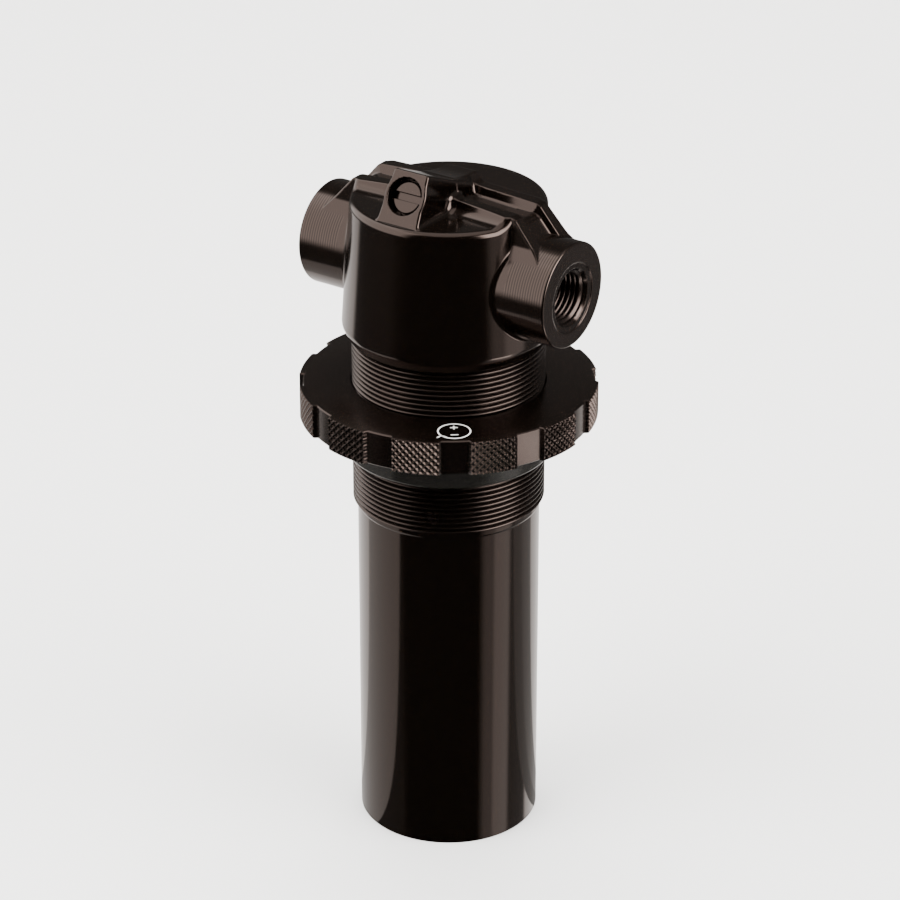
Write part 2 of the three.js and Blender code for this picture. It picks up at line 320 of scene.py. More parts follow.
def crest_plane(x, z, drop=0.0):
    """Distance above the bridge's nearly level top."""
    return half_plane(np.abs(x), z, CREST_SLOPE, (0, CREST_CENTRE - drop))


def crest_line(x, z, crest_drop=0.0, ramp_drop=0.0):
    """Distance above the bridge's long profile: nearly level, then a steep ramp on each side."""
    ramp = half_plane(np.abs(x), z, RAMP_SLOPE, (KNEE_X, KNEE_Z - ramp_drop))
    return both(crest_plane(x, z, crest_drop), ramp, 0.5)


def channel_field(x, y, z):
    """The channels along the bridge's top, one on each side of the middle."""
    above = crest_line(x, z)
    wall = (np.abs(y) - RIB_INNER - CHANNEL_DRAFT * above) * math.cos(math.atan(CHANNEL_DRAFT))
    channel = both(-crest_line(x, z, CHANNEL_DEPTH, RAMP_DEPTH), wall, CHANNEL_CORNER)
    return both(channel, CHANNEL_START - np.abs(x), CHANNEL_CORNER)


def bridged_field(x, y, z):
    """Core, bosses and the bridge along X, whose side fillets widen outwards and stop at its ramps."""
    core = core_field(x, y, z)
    boss = boss_field(x, y, z)
    side = half_plane(np.abs(y), z, math.pi / 2 - 0.08, (RIB_OUTER, CREST_CENTRE))
    buried = np.maximum(BRIDGE_ROOT - z, np.abs(x) - RIB_REACH)
    bar = both(crest_plane(x, z), np.maximum(side, buried), 0.3)
    over_core = either(z - HEAD_TOP, bar, BRIDGE_FILLET + BRIDGE_SPREAD * np.abs(x))
    over_core = both(over_core, core_side(x, y, z), HEAD_RIM)
    over_core = np.maximum(over_core, BRIDGE_ROOT - z)
    over_boss = np.maximum(either(boss, bar, RIB_FILLET), np.abs(x) - TRUNNION_HALF)
    bridge = np.minimum(over_core, over_boss)
    bridge = both(bridge, crest_line(x, z), 0.3)
    bridge = without(bridge, channel_field(x, y, z), 0.2)
    return np.minimum(either(core, boss, BOSS_FILLET), bridge)


def hump_field(x, y, z):
    """The raised middle of the bridge, its back end dropping steeply."""
    side = half_plane(np.abs(x), z, math.pi / 2 - 0.2, (HUMP_HALF, HUMP_TOP))
    back = half_plane(y, z, math.radians(54), (HUMP_BACK, HUMP_TOP))
    top = half_plane(y, z, math.radians(2), (0, HUMP_TOP))
    block = both(both(top, back, 0.15), side, 0.3)
    return np.maximum(block, np.maximum(HUMP_FRONT - y, HUMP_ROOT - z))


def port_axes(x, y, z):
    """How far out along the port's axis a point is, and how far up its face."""
    out = (y - PORT_CENTRE[1]) * PORT_AXIS[1] + (z - PORT_CENTRE[2]) * PORT_AXIS[2]
    up = (y - PORT_CENTRE[1]) * PORT_UP[1] + (z - PORT_CENTRE[2]) * PORT_UP[2]
    return out, up


def add_port(base, x, y, z):
    """The base with the ridge along Y on it, whose front end is the port's tilted face."""
    out, up = port_axes(x, y, z)
    top_corner = PORT_CENTRE + PORT_TOP * PORT_UP
    top = half_plane(y, z, RIDGE_SLOPE, (top_corner[1], top_corner[2]))
    side = half_plane(np.abs(x), z, math.pi / 2 - 0.086, (PORT_HALF, PORT_CENTRE[2]))
    foot = np.maximum(-PORT_FOOT - up, HUMP_ROOT - z)
    ridge = np.maximum(both(side, top, 0.5), np.maximum(foot, y - RIDGE_BACK))
    boss = np.maximum(np.maximum(np.hypot(x, up) - PORT_BOSS, -7 - out), out - 1)
    ridge = either(ridge, boss, 0.5)
    fillet = np.clip(PORT_FILLET + PORT_SPREAD * (y - PORT_CENTRE[1]), 0.5, 1.6)
    filleted = both(either(base, ridge, fillet), out, 0.4)
    return np.minimum(filleted, np.minimum(base, both(ridge, out, 0.4)))


def bore_field(x, y, z):
    """Both trunnion bores: a shallow round recess, a chamfer and a drilled end."""
    inward = TRUNNION_HALF - np.abs(x)
    radius = np.hypot(y, z - BORE_AXIS)
    bore = both(radius - BORE_MAJOR, inward - BORE_DEPTH, 0.8)
    recess = np.maximum(radius - MOUTH_RADIUS, inward - MOUTH_RECESS)
    chamfer = half_plane(inward, radius, math.pi / 4, (MOUTH_DEPTH, BORE_MAJOR))
    return np.minimum(np.minimum(bore, recess), np.maximum(chamfer, inward - 2))


def port_hole_field(x, y, z):
    """The stepped hole in the port's face."""
    out, up = port_axes(x, y, z)
    radius = np.hypot(x, up)
    recess = np.maximum(radius - PORT_RECESS, -3.4 - out)
    thread = np.maximum(radius - 2.3, -10 - out)
    return np.minimum(recess, thread)


def socket_field(x, y, z):
    """The hollow under the head that takes the tube."""
    radius = np.hypot(x, y)
    wide = np.maximum(radius - SOCKET_RADIUS, z - THREAD_TOP - 0.3)
    narrow = np.maximum(radius - SOCKET_NARROW, z - SOCKET_TOP)
    return np.minimum(wide, narrow)


def head_field(points):
    """The whole trunnion head."""
    x, y, z = points[..., 0], points[..., 1], points[..., 2]
    head = either(bridged_field(x, y, z), hump_field(x, y, z), HUMP_FILLET)
    head = add_port(head, x, y, z)
    head = without(head, port_hole_field(x, y, z), 0.12)
    head = without(head, bore_field(x, y, z), 0.2)
    return without(head, socket_field(x, y, z), 0.1)


# ---- Turning a signed distance into a mesh ---------------------------------------------------

CELL_CORNERS = np.array([(i, j, k) for i in (0, 1) for j in (0, 1) for k in (0, 1)])
CELL_EDGES = [
    (a, b)
    for a in range(8)
    for b in range(a + 1, 8)
    if np.abs(CELL_CORNERS[a] - CELL_CORNERS[b]).sum() == 1
]


def sample(field, axes):
    """The field at every point of a grid, one slab at a time."""
    values = np.empty([len(axis) for axis in axes])
    for index, x in enumerate(axes[0]):
        y, z = np.meshgrid(axes[1], axes[2], indexing="ij")
        values[index] = field(np.stack([np.full_like(y, x), y, z], axis=-1))
    return values


def net_points(values, active, low, step):
    """One point in each active cell, at the mean of where its edges cross the surface."""
    total = np.zeros((len(active), 3))
    count = np.zeros((len(active), 1))
    at_corner = [values[tuple((active + corner).T)] for corner in CELL_CORNERS]
    for a, b in CELL_EDGES:
        va, vb = at_corner[a], at_corner[b]
        crosses = (va < 0) != (vb < 0)
        t = np.where(crosses, va / np.where(crosses, va - vb, 1), 0)[:, None]
        point = CELL_CORNERS[a] * (1 - t) + CELL_CORNERS[b] * t
        total += point * crosses[:, None]
        count += crosses[:, None]
    return low + (active + total / count) * step


def net_faces(inside, index):
    """A quad around every grid edge that crosses the surface, facing outwards."""
    faces = []
    for axis in range(3):
        u, v = (axis + 1) % 3, (axis + 2) % 3
        change = np.diff(inside.astype(np.int8), axis=axis)
        cut = np.argwhere(change != 0)
        cut = cut[(cut[:, u] > 0) & (cut[:, v] > 0)]
        leaving = change[tuple(cut.T)] < 0
        ring = []
        for du, dv in ((1, 1), (0, 1), (0, 0), (1, 0)):
            cell = cut.copy()
            cell[:, u] -= du
            cell[:, v] -= dv
            ring.append(index[tuple(cell.T)])
        quads = np.stack(ring, axis=1)
        faces.append(quads[leaving])
        faces.append(quads[~leaving][:, ::-1])
    return np.concatenate(faces)


def gradient(field, points, reach=0.01):
    """The field's direction of steepest rise at each point."""
    rise = np.empty_like(points)
    for axis in range(3):
        offset = np.zeros(3)
        offset[axis] = reach
        rise[:, axis] = (field(points + offset) - field(points - offset)) / (2 * reach)
    return rise


def field_mesh(name, field, low, high, step):
    """A smooth closed mesh of the solid, its points moved onto the surface itself."""
    low = np.array(low, float)
    axes = [np.arange(a, b + step, step) for a, b in zip(low, high)]
    values = sample(field, axes)
    inside = values < 0
    cells = [n - 1 for n in inside.shape]
    filled = np.zeros(cells, np.int8)
    for i, j, k in CELL_CORNERS:
        filled += inside[i : i + cells[0], j : j + cells[1], k : k + cells[2]]
    active = np.argwhere((filled > 0) & (filled < 8))
    index = np.full(cells, -1)
    index[tuple(active.T)] = np.arange(len(active))
    faces = net_faces(inside, index)
    points = net_points(values, active, low, step)
    for _ in range(3):
        rise = gradient(field, points)
        slope = np.maximum((rise**2).sum(axis=1, keepdims=True), 0.25)
        move = field(points)[:, None] * rise / slope
        points -= np.clip(move, -step, step)
    rise = gradient(field, points)
    normals = rise / np.maximum(np.linalg.norm(rise, axis=1, keepdims=True), 1e-9)
    return make_object(name, points, faces.tolist(), normals)


# ---- Turned, threaded and knurled surfaces ---------------------------------------------------


def swept_helix(name, section, turns, pitch, sides, start, hidden):
    """A helical thread ridge about Z from a section of [r, z] points, sinking away at both ends."""
    steps = int(turns * sides)
    section = np.array(section, float)
    angles = np.arange(steps + 1) * TURN / sides
    fade = np.clip(np.minimum(angles, angles[-1] - angles) / (TURN / 6), 0, 1)[:, None]
    radius = hidden + (section[None, :, 0] - hidden) * fade
    height = start + section[None, :, 1] + (angles * pitch / TURN)[:, None]
    turn = angles[:, None]
    points = np.stack([radius * np.cos(turn), radius * np.sin(turn), height], axis=-1)
    faces = grid_faces(steps + 1, len(section), wrap_columns=True)
    faces.append(tuple(range(len(section)))[::-1])
    last = steps * len(section)
    faces.append(tuple(range(last, last + len(section))))
    return make_object(name, points.reshape(-1, 3), faces)


def thread_section(root, crest, pitch, sunk):
    """A rounded 60 degree thread form as [r, z] points."""
    half = pitch / 2
    depth = crest - root
    return [
        (root - sunk, -half),
        (root, -0.46 * pitch),
        (root + 0.8 * depth, -0.17 * pitch),
        (crest, -0.07 * pitch),
        (crest, 0.07 * pitch),
        (root + 0.8 * depth, 0.17 * pitch),
        (root, 0.46 * pitch),
        (root - sunk, half),
    ]


def build_head():
    """The trunnion head in one closed mesh."""
    return field_mesh("head_body", head_field, (-27.6, -20.4, 100.6), (27.6, 20.4, 137.4), HEAD_STEP)


def build_bore_thread(side):
    """The thread inside one trunnion bore, as a ridge standing in from the bore's wall."""
    section = thread_section(BORE_MAJOR, BORE_MINOR, FINE_PITCH, -0.06)
    start = TRUNNION_HALF - BORE_DEPTH + BORE_START
    turns = BORE_DEPTH - BORE_START - MOUTH_DEPTH - 0.3
    piece = swept_helix(
        "bore_thread_" + side, section, turns, FINE_PITCH, 72, start, BORE_MAJOR + 0.06
    )
    turn = math.pi / 2 if side == "right" else -math.pi / 2
    lift = Matrix.Translation((0, 0, BORE_AXIS * MM))
    return place(piece, lift @ Matrix.Rotation(turn, 4, "Y"))


def build_tube():
    """The tube: smooth below, a thread's root above, its bore grooved for the stop ring."""
    corners = [
        (TUBE_BORE + 1, 0),
        (TUBE_RADIUS, 0),
        (TUBE_RADIUS, THREAD_BOTTOM),
        (THREAD_ROOT, THREAD_BOTTOM + 0.3),
        (THREAD_ROOT, THREAD_TOP),
        (SPIGOT_RADIUS, THREAD_TOP),
        (SPIGOT_RADIUS, SPIGOT_TOP),
        (NECK_RADIUS, SPIGOT_TOP),
        (NECK_RADIUS, TUBE_TOP),
        (TUBE_BORE, TUBE_TOP),
        (TUBE_BORE, STOP_GROOVE + STOP_GROOVE_HALF),
        (STOP_GROOVE_RADIUS, STOP_GROOVE + STOP_GROOVE_HALF),
        (STOP_GROOVE_RADIUS, STOP_GROOVE - STOP_GROOVE_HALF),
        (TUBE_BORE, STOP_GROOVE - STOP_GROOVE_HALF),
        (TUBE_BORE, 1),
    ]
    return turned_ring("tube_wall", corners, edge=0.18)


def build_tube_thread():
    """The ring's thread on the tube, as a ridge standing on its root."""
    section = thread_section(THREAD_ROOT, THREAD_CREST, FINE_PITCH, 0.15)
    turns = THREAD_TOP - THREAD_BOTTOM - 1.4
    return swept_helix(
        "tube_thread", section, turns, FINE_PITCH, 144, THREAD_BOTTOM + 0.8, THREAD_ROOT - 0.15
    )


def pad_shape(angles):
    """How much of a pad stands at each angle, and the distance along its arc from its middle."""
    off = (angles - PAD_FIRST + PAD_PITCH / 2) % PAD_PITCH - PAD_PITCH / 2
    ramp = PAD_STEP / RING_RADIUS
    stands = np.clip((PAD_ANGLE / 2 + ramp - np.abs(off)) / ramp, 0, 1)
    return stands, off * RING_RADIUS


def ring_angles():
    """Angles around the ring: close together over the knurled pads, wider over the flats."""
    ramp = PAD_STEP / RING_RADIUS
    half = PAD_ANGLE / 2
    pad = np.linspace(-half, half, PAD_COLUMNS + 1)
    flat = np.linspace(half + ramp, PAD_PITCH - half - ramp, FLAT_COLUMNS + 1)
    one = np.concatenate([pad, flat])
    return np.concatenate([PAD_FIRST + index * PAD_PITCH + one for index in range(PADS)])


def knurl(along, height):
    """How deep the pits between the knurl's crossing lines are at a place on a pad."""
    off_line = []
    for direction in (1, -1):
        across = (along + direction * height) / math.sqrt(2) / KNURL_PITCH
        off_line.append(np.abs(across - np.round(across)) * 2)
    pit = np.minimum(off_line[0], off_line[1])
    return KNURL_DEPTH * np.clip(2 * pit - 0.14, 0, 1)


def build_ring():
    """The preload ring: knurled pads, lower flats between them, and a grooved bore."""
    angles = ring_angles()
    stands, along = pad_shape(angles)
    outer = RING_FLAT + (RING_RADIUS - RING_FLAT) * stands
    groove_low, groove_high = RING_GROOVE - RING_GROOVE_HALF, RING_GROOVE + RING_GROOVE_HALF
    rows = []
    for radius, height in ((RING_BORE, RING_BOTTOM + 0.5), (RING_BORE + 0.5, RING_BOTTOM)):
        rows.append((np.full_like(angles, radius), height))
    rows.append((outer - 0.45, RING_BOTTOM))
    rows.append((outer - 0.15, RING_BOTTOM + 0.1))
    for height in np.linspace(RING_BOTTOM + 0.3, RING_TOP - 0.3, KNURL_ROWS + 1):
        cut = knurl(along, height - RING_BOTTOM) * (stands >= 1)
        rows.append((outer - cut, height))
    rows.append((outer - 0.15, RING_TOP - 0.15))
    rows.append((outer - 0.4, RING_TOP - 0.06))
    for radius, height in (
        (RING_BEVEL + 0.15, RING_TOP - 0.05),
        (RING_BEVEL, RING_TOP),
        (RING_BORE + 0.2, RING_TOP),
        (RING_BORE, RING_TOP - 0.2),
        (RING_BORE, groove_high),
        (RING_GROOVE_RADIUS, groove_high),
        (RING_GROOVE_RADIUS, groove_low),
        (RING_BORE, groove_low),
    ):
        rows.append((np.full_like(angles, radius), height))
    points = np.array(
        [
            np.stack([r * np.cos(angles), r * np.sin(angles), np.full_like(angles, h)], axis=-1)
            for r, h in rows
        ]
    )
    faces = grid_faces(len(rows), len(angles), wrap_rows=True, wrap_columns=True)
    piece = make_object("knurled_ring", points.reshape(-1, 3), faces)
    sharpen(piece, math.radians(30))
    return piece


def ink_strip(name, line, closed=False):
    """A thin raised strip along a line of [x, y] points on the ring's top."""
    line = np.array(line, float)
    if closed:
        along = np.roll(line, -1, axis=0) - np.roll(line, 1, axis=0)
    else:
        along = np.gradient(line, axis=0)
    along /= np.linalg.norm(along, axis=1, keepdims=True)
    side = np.stack([-along[:, 1], along[:, 0]], axis=1) * MARK_WIDTH / 2
    count = len(line)
    points = np.empty((4, count, 3))
    for row, (across, lift) in enumerate(((-1, -1), (1, -1), (1, 1), (-1, 1))):
        points[row, :, :2] = line + across * side
        points[row, :, 2] = RING_TOP + lift * MARK_LIFT
    faces = grid_faces(4, count, wrap_rows=True, wrap_columns=closed)
    if not closed:
        faces += [tuple(row * count for row in (3, 2, 1, 0))]
        faces += [tuple(row * count + count - 1 for row in range(4))]
    piece = make_object(name, points.reshape(-1, 3), faces)
    sharpen(piece)
    return piece


def build_mark():
    """A printed circle with a small arrow at its side, and a plus and a minus inside it."""
    angles = np.arange(64) * TURN / 64
    circle = MARK_RADIUS * np.stack([np.cos(angles), np.sin(angles)], axis=1)
    lines = {"mark_circle": (circle, True)}
    for sign, angle in (("plus", math.pi / 2), ("minus", -math.pi / 2)):
        middle = 0.5 * MARK_RADIUS * np.array([math.cos(angle), math.sin(angle)])
        lines["mark_" + sign] = (middle + np.array([(-MARK_SIGN, 0), (MARK_SIGN, 0)]), False)
        if sign == "plus":
            upright = middle + np.array([(0, -MARK_SIGN), (0, MARK_SIGN)])
            lines["mark_plus_stroke"] = (upright, False)
    tip = MARK_RADIUS * np.array([math.cos(MARK_ARROW), math.sin(MARK_ARROW)])
    for arm, angle in (("outer", MARK_ARROW + 0.2), ("inner", MARK_ARROW + 1.9)):
        end = tip + MARK_ARM * np.array([math.cos(angle), math.sin(angle)])
        lines["mark_arrow_" + arm] = (np.array([tip, end]), False)
    middle = RING_MARK * np.array([math.cos(MARK_TURN), math.sin(MARK_TURN), 0])
    spin = Matrix.Rotation(MARK_TURN + math.pi / 2, 4, "Z")
    pieces = []
    for name, (line, closed) in lines.items():
        piece = ink_strip(name, line, closed)
        pieces.append(place(piece, Matrix.Translation(Vector(middle) * MM) @ spin))
    return pieces


def screw_field(points):
    """The port's screw about Z: a head with a slot across it, on a plain shank."""
    radius = np.hypot(points[..., 0], points[..., 1])
    height = points[..., 2]
    head = both(radius - SCREW_RADIUS, height - SCREW_TOP, 0.25)
    head = np.maximum(head, SCREW_HEAD_END - height)
    shank = np.maximum(np.maximum(radius - SHANK_RADIUS, SHANK_END - height), height + 2)
    slot = both(np.abs(points[..., 1]) - SLOT_HALF, SCREW_TOP - SLOT_DEPTH - height, 0.1)
    return without(np.minimum(head, shank), slot, 0.1)


def build_port_screw():
    """The port's screw, placed on the port's axis."""
    reach = SCREW_RADIUS + 0.3
    low, high = (-reach, -reach, SHANK_END - 0.3), (reach, reach, 0)
    return place(field_mesh("port_screw_head", screw_field, low, high, SCREW_STEP), port_matrix())


def port_matrix():
    """Moves a mesh built about Z at the origin onto the port's axis."""
    tilt = Matrix.Rotation(math.pi / 2 - PORT_TILT, 4, "X")
    return Matrix.Translation(Vector(PORT_CENTRE) * MM) @ tilt


def build_pilot():
    """The plastic spring pilot, its hub chamfered below."""
    corners = [
        (PILOT_BORE, PILOT_BOTTOM),
        (PILOT_HUB - 0.5, PILOT_BOTTOM),
        (PILOT_HUB, PILOT_BOTTOM + 0.6),
        (PILOT_HUB, PILOT_FLANGE_BOTTOM),
        (PILOT_FLANGE, PILOT_FLANGE_BOTTOM),
        (PILOT_FLANGE, PILOT_TOP),
        (PILOT_BORE, PILOT_TOP),
    ]
    return turned_ring("spring_pilot_shell", corners, edge=0.2)


# ---- Materials -------------------------------------------------------------------------------


def new_material(name, **values):
    """A Principled material with plain values, and its node tree."""
    material = bpy.data.materials.new(name)
    material.use_nodes = True
    tree = material.node_tree
    shader = tree.nodes["Principled BSDF"]
    for socket, value in values.items():
        shader.inputs[socket.replace("_", " ")].default_value = value
    return material, tree, shader


def add_noise(tree, scale):
    """A noise texture in object space."""
    position = tree.nodes.new("ShaderNodeTexCoord")
    noise = tree.nodes.new("ShaderNodeTexNoise")
    noise.inputs["Scale"].default_value = scale
    noise.inputs["Detail"].default_value = 2.0
    tree.links.new(position.outputs["Object"], noise.inputs["Vector"])
    return noise


def math_node(tree, operation, a, b=None, c=None):
    """One Math node; each input is a socket or a number."""
    node = tree.nodes.new("ShaderNodeMath")
    node.operation = operation
    for socket, value in zip(node.inputs, (a, b, c)):
        if value is None:
            continue
        if isinstance(value, bpy.types.NodeSocket):
            tree.links.new(value, socket)
        else:
            socket.default_value = value
    return node.outputs["Value"]


def soft_step(tree, value, low, high):
    """0 below low, 1 above high, smooth between them; falls instead where low is above high."""
    node = tree.nodes.new("ShaderNodeMapRange")
    node.interpolation_type = "SMOOTHSTEP"
    rises = low < high
    node.inputs["From Min"].default_value = low if rises else high
    node.inputs["From Max"].default_value = high if rises else low
    node.inputs["To Min"].default_value = 0 if rises else 1
    node.inputs["To Max"].default_value = 1 if rises else 0
    tree.links.new(value, node.inputs["Value"])
    return node.outputs["Result"]


def add_ramp(tree, source, stops):
    """A colour ramp driven by a texture, from (position, colour) stops."""
    ramp = tree.nodes.new("ShaderNodeValToRGB")
    elements = ramp.color_ramp.elements
    while len(elements) < len(stops):
        elements.new(0.5)
    for element, (position, colour) in zip(elements, stops):
        element.position = position
        element.color = (*colour, 1)
    tree.links.new(source, ramp.inputs["Fac"])
    return ramp


def add_bump(tree, shader, source, distance):
    """Relief of a given depth in metres, driven by a texture."""
    bump = tree.nodes.new("ShaderNodeBump")
    bump.inputs["Distance"].default_value = distance
    bump.inputs["Strength"].default_value = 1.0
    tree.links.new(source, bump.inputs["Height"])
    tree.links.new(bump.outputs["Normal"], shader.inputs["Normal"])


def vary_roughness(tree, shader, low, high, scale):
    """Roughness that drifts between two values over the surface."""
    noise = add_noise(tree, scale)
    span = tree.nodes.new("ShaderNodeMapRange")
    span.inputs["To Min"].default_value = low
    span.inputs["To Max"].default_value = high
    tree.links.new(noise.outputs["Fac"], span.inputs["Value"])
    tree.links.new(span.outputs["Result"], shader.inputs["Roughness"])


def black_anodised(name, smoothest, roughest):
    """Glossy black anodised aluminium, warm in tone, with a very fine grain."""
    material, tree, shader = new_material(
        name, Base_Color=(0.0012, 0.0007, 0.0004, 1), IOR=1.65, Specular_Tint=(1, 0.78, 0.7, 1)
    )
    vary_roughness(tree, shader, smoothest, roughest, 160)
    add_bump(tree, shader, add_noise(tree, 900).outputs["Fac"], 2e-6)
    return material


def turned_bosses(material):
    """Adds fine turning lines around the trunnion bosses, starting at a wavering line."""
    tree = material.node_tree
    position = tree.nodes.new("ShaderNodeTexCoord")
    axes = tree.nodes.new("ShaderNodeSeparateXYZ")
    tree.links.new(position.outputs["Object"], axes.inputs["Vector"])
    waver = add_noise(tree, 350).outputs["Fac"]
    across = math_node(tree, "ABSOLUTE", axes.outputs["X"])
    start = math_node(tree, "MULTIPLY_ADD", waver, 0.0016, across)
    boss = soft_step(tree, start, LINES_START * MM, (LINES_START + 0.05) * MM)
    upward = math_node(tree, "SUBTRACT", axes.outputs["Z"], TRUNNION_AXIS * MM)
    squares = math_node(tree, "MULTIPLY", upward, upward)
    squares = math_node(tree, "MULTIPLY_ADD", axes.outputs["Y"], axes.outputs["Y"], squares)
    edge = BOSS_RADIUS + 0.03
    around = soft_step(tree, squares, (edge * MM) ** 2, ((edge - 0.02) * MM) ** 2)
    phase = math_node(tree, "MULTIPLY", across, TURN / (LINES_PITCH * MM))
    line = math_node(tree, "MULTIPLY", math_node(tree, "SINE", phase), LINES_CONTRAST / 2)
    line = math_node(tree, "MULTIPLY", math_node(tree, "MULTIPLY", boss, around), line)
    shader = tree.nodes["Principled BSDF"]
    level = math_node(tree, "SUBTRACT", 0.5, line)
    tree.links.new(level, shader.inputs["Specular IOR Level"])


def plain_material(name, colour, roughness, metallic=0.0):
    """A plain finish whose colour drifts a little."""
    material, tree, shader = new_material(name, Metallic=metallic)
    noise = add_noise(tree, 600)
    dark = tuple(0.85 * part for part in colour)
    ramp = add_ramp(tree, noise.outputs["Fac"], [(0.3, dark), (0.7, colour)])
    tree.links.new(ramp.outputs["Color"], shader.inputs["Base Color"])
    vary_roughness(tree, shader, 0.9 * roughness, 1.1 * roughness, 200)
    return material


# ---- Assembly --------------------------------------------------------------------------------


def fit(piece, material, body, slot, *nodes):
    """Gives a piece its material and its body, and hides the CAD nodes it stands for. The slot is not
    used.
    """
    piece.data.materials.clear()
    piece.data.materials.append(material)
    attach(piece, body)
    if nodes:
        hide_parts(*nodes)
    return piece


def dress(node, material):
    """Gives a carried-over CAD node a procedural material."""
    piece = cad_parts[node]
    piece.data.materials.clear()
    piece.data.materials.append(material)
    sharpen(piece)


head_black = black_anodised("head_black", 0.11, 0.16)
turned_bosses(head_black)
tube_black = black_anodised("tube_black", 0.09, 0.13)
thread_black = black_anodised("thread_black", 0.2, 0.3)
ring_black = black_anodised("ring_black", 0.2, 0.3)
rubber = plain_material("black_rubber", (0.012, 0.012, 0.012), 0.55)
acetal = plain_material("grey_acetal", (0.35, 0.38, 0.36), 0.4)
black_acetal = plain_material("black_acetal", (0.006, 0.0057, 0.0045), 0.22)
white_ink = plain_material("white_ink", (0.8, 0.79, 0.76), 0.5)
bronze = plain_material("bronze_ptfe", (0.2, 0.12, 0.07), 0.5)
steel = plain_material("satin_steel", (0.55, 0.55, 0.53), 0.3, metallic=1.0)
aluminium = plain_material("plain_aluminium", (0.75, 0.75, 0.74), 0.25, metallic=1.0)

fit(build_head(), head_black, "body", "black_anodised", "trunnion_head")
for side in ("right", "left"):
    fit(build_bore_thread(side), thread_black, "body", "black_anodised", "trunnion_head")
fit(build_tube(), tube_black, "body", "black_anodised", "damper_tube")
fit(build_tube_thread(), thread_black, "body", "black_anodised", "damper_tube")
fit(build_ring(), ring_black, "ring", "black_anodised", "preload_ring")
for piece in build_mark():
    fit(piece, white_ink, "ring", None, "preload_ring").visible_glossy = False
fit(build_port_screw(), head_black, "port_plug", "black_anodised", "port_screw")
fit(build_pilot(), black_acetal, "spring_seat", "black_acetal", "spring_pilot")

inner_materials = {
    "head_seal": rubber,
    "port_pellet": rubber,
    "ring_friction_seal": rubber,
    "port_screw_seal": rubber,
    "piston_seal": rubber,
    "bleed_screw_seal": rubber,
    "upper_back_up_ring": acetal,
    "lower_back_up_ring": acetal,
    "piston_guide_band": bronze,
    "piston_stop_ring": steel,
    "piston_bleed_screw": steel,
    "gas_piston": aluminium,
}
for node, material in inner_materials.items():
    dress(node, material)


# ---- Stage -----------------------------------------------------------------------------------

# The camera: its angles, its lengths in metres, and its lens in millimetres
VIEW_AZIMUTH = math.radians(34.24)
VIEW_ELEVATION = math.radians(26.45)
VIEW_DISTANCE = 0.6774
VIEW_HEIGHT = 0.07647
VIEW_SHIFT = 0.000243  # how far to the right of the object's axis it aims
SENSOR_WIDTH = 36
LENS_LENGTH = 143.76

FLOOR_SIDES = 96
LIGHT_HEIGHT = 0.09
LIGHT_DISTANCE = 1.1
STUDIO_WHITE = (1, 0.95, 0.91, 1)
STUDIO_DARK = 0.02  # the room's brightness outside its panels


def build_floor():
    """A round pale floor that curves up into a low wall all round, left out of mirror reflections."""
    flat, bend, wall = 1.5, 0.4, 1.3
    line = [(0.0001, 0.0), (0.4, 0.0), (flat, 0.0)]
    for step in range(1, 13):
        angle = math.pi / 2 * step / 12
        line.append((flat + bend * math.sin(angle), bend - bend * math.cos(angle)))
    line.append((flat + bend, wall))
    angles = np.arange(FLOOR_SIDES) * TURN / FLOOR_SIDES
    points = [
        [radius * np.cos(angles), radius * np.sin(angles), np.full_like(angles, height)]
        for radius, height in line
    ]
    points = np.transpose(np.array(points), (0, 2, 1)).reshape(-1, 3) / MM
    floor = make_object("floor", points, grid_faces(len(line), FLOOR_SIDES, wrap_columns=True))
    material, _, _ = new_material("floor_white", Base_Color=(0.88, 0.88, 0.87, 1), Roughness=0.9)
    floor.data.materials.append(material)
    floor.visible_glossy = False


def view_direction(turn, elevation):
    """A direction given by an angle to the right of the camera and a height above the horizon."""
    azimuth = VIEW_AZIMUTH + math.radians(turn)
    up = math.radians(elevation)
    level = math.cos(up)
    return Vector((math.sin(azimuth) * level, -math.cos(azimuth) * level, math.sin(up)))


def add_softbox(name, turn, elevation, size, power):
    """A square area light aimed at the object, which lights it but isn't mirrored in it."""
    data = bpy.data.lights.new(name, "AREA")
    data.size = size
    data.energy = power
    light = bpy.data.objects.new(name, data)
    aim = view_direction(turn, elevation)
    light.location = Vector((0, 0, LIGHT_HEIGHT)) + aim * LIGHT_DISTANCE
    light.rotation_euler = aim.to_track_quat("Z", "Y").to_euler()
    light.visible_glossy = False
    light.visible_camera = False
    bpy.context.scene.collection.objects.link(light)


def add_card(name, points, strength):
    """A glowing flat card that is only seen mirrored in the object."""
    card = make_object(name, np.array(points) / MM, [tuple(range(len(points)))])
    material, _, _ = new_material(
        name, Base_Color=(0, 0, 0, 1), Emission_Color=STUDIO_WHITE, Emission_Strength=strength
    )
    card.data.materials.append(material)
    for rays in ("camera", "diffuse", "shadow", "transmission", "volume_scatter"):
        setattr(card, "visible_" + rays, False)


def add_floor_card(name, turns, strength):
    """A card lying just under the floor on one side, mirrored low down on the tube."""
    reach, height = 0.15, -0.002
    edge = []
    for turn in np.linspace(*turns, 9):
        azimuth = VIEW_AZIMUTH + math.radians(turn)
        edge.append((reach * math.sin(azimuth), -reach * math.cos(azimuth), height))
    add_card(name, [(0, 0, height), *edge], strength)


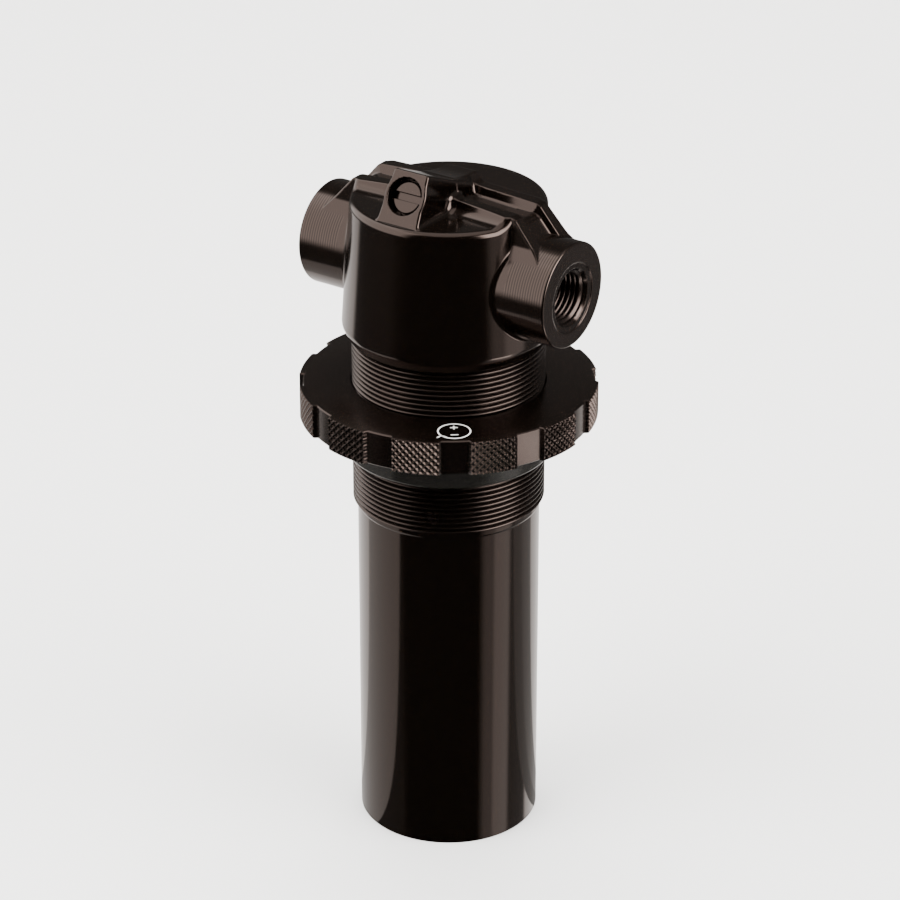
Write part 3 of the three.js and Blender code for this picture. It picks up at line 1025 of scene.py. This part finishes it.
def add_flat_card(name, turn, distance, width, height, strength):
    """A small card that one of the ring's flats mirrors towards the camera."""
    middle_height = Vector((0, 0, (RING_BOTTOM + RING_TOP) / 2 * MM))
    aim = view_direction(2 * turn, -math.degrees(VIEW_ELEVATION))
    middle = view_direction(turn, 0) * RING_FLAT * MM + middle_height + aim * distance
    across = aim.cross(Vector((0, 0, 1))).normalized() * width / 2
    up = across.normalized().cross(aim) * height / 2
    corners = [middle + i * across + j * up for i, j in ((-1, -1), (1, -1), (1, 1), (-1, 1))]
    add_card(name, [tuple(corner) for corner in corners], strength)


def build_camera():
    """A long lens looking down on the object from its front right."""
    data = bpy.data.cameras.new("camera")
    data.sensor_width = SENSOR_WIDTH
    data.lens = LENS_LENGTH
    data.clip_start = 0.01
    camera = bpy.data.objects.new("camera", data)
    aim = view_direction(0, math.degrees(VIEW_ELEVATION))
    across = Vector((math.cos(VIEW_AZIMUTH), math.sin(VIEW_AZIMUTH), 0))
    target = Vector((0, 0, VIEW_HEIGHT)) + across * VIEW_SHIFT
    camera.location = target + aim * VIEW_DISTANCE
    camera.rotation_euler = aim.to_track_quat("Z", "Y").to_euler()
    bpy.context.scene.collection.objects.link(camera)
    bpy.context.scene.camera = camera


def panel_light(tree, turn, elevation, turns, elevations, soft, strength):
    """The brightness of one soft panel in the studio, given by its span of turn and elevation."""
    total = strength
    for value, (low, high) in ((turn, turns), (elevation, elevations)):
        up = soft_step(tree, value, math.radians(low - soft), math.radians(low + soft))
        down = soft_step(tree, value, math.radians(high + soft), math.radians(high - soft))
        total = math_node(tree, "MULTIPLY", math_node(tree, "MULTIPLY", up, down), total)
    return total


# Each panel: span of turn, span of elevation, softness in degrees, brightness.
STUDIO_PANELS = [
    ((-400, -122), (-60, -17), 4, 1.7),
    ((124, 400), (-60, -17), 4, 1.7),
    ((-400, -145), (-8, 50), 6, 0.09),
    ((125, 400), (-8, 50), 6, 0.09),
    ((88, 125), (-50, 55), 5, 0.2),
    ((-118, -62), (-50, -12), 5, 0.08),
    ((-145, -50), (-8, 62), 8, 2.4),
    ((40, 85), (-2, 45), 6, 9),
    ((45, 62), (-50, -8), 6, 0.58),
    ((62, 87), (-50, -8), 4, 1.1),
    ((-400, 400), (58, 120), 10, 1.3),
]


def build_world():
    """A dark studio with soft white panels around the object, as its polish mirrors them."""
    world = bpy.data.worlds.new("studio")
    world.use_nodes = True
    world.cycles.sampling_method = "NONE"
    tree = world.node_tree
    position = tree.nodes.new("ShaderNodeTexCoord")
    mapping = tree.nodes.new("ShaderNodeMapping")
    mapping.inputs["Rotation"].default_value = (0, 0, -VIEW_AZIMUTH)
    axes = tree.nodes.new("ShaderNodeSeparateXYZ")
    tree.links.new(position.outputs["Generated"], mapping.inputs["Vector"])
    tree.links.new(mapping.outputs["Vector"], axes.inputs["Vector"])
    forward = math_node(tree, "MULTIPLY", axes.outputs["Y"], -1)
    turn = math_node(tree, "ARCTAN2", axes.outputs["X"], forward)
    elevation = math_node(tree, "ARCSINE", axes.outputs["Z"])
    total = STUDIO_DARK
    for panel in STUDIO_PANELS:
        total = math_node(tree, "ADD", total, panel_light(tree, turn, elevation, *panel))
    background = tree.nodes["Background"]
    background.inputs["Color"].default_value = STUDIO_WHITE
    tree.links.new(total, background.inputs["Strength"])
    bpy.context.scene.world = world


build_floor()
build_world()
build_camera()
add_flat_card("flat_card", 32.4, 0.06, 0.032, 0.013, 4.5)
add_floor_card("left_floor_card", (-118, -62), 0.75)
add_floor_card("right_floor_card", (87, 103), 0.35)
add_floor_card("side_floor_card", (103, 124), 0.5)
add_softbox("left_light", -60, 50, 0.8, 22)
add_softbox("right_light", 60, 60, 0.8, 18)
add_softbox("back_light", 180, 60, 0.9, 22)
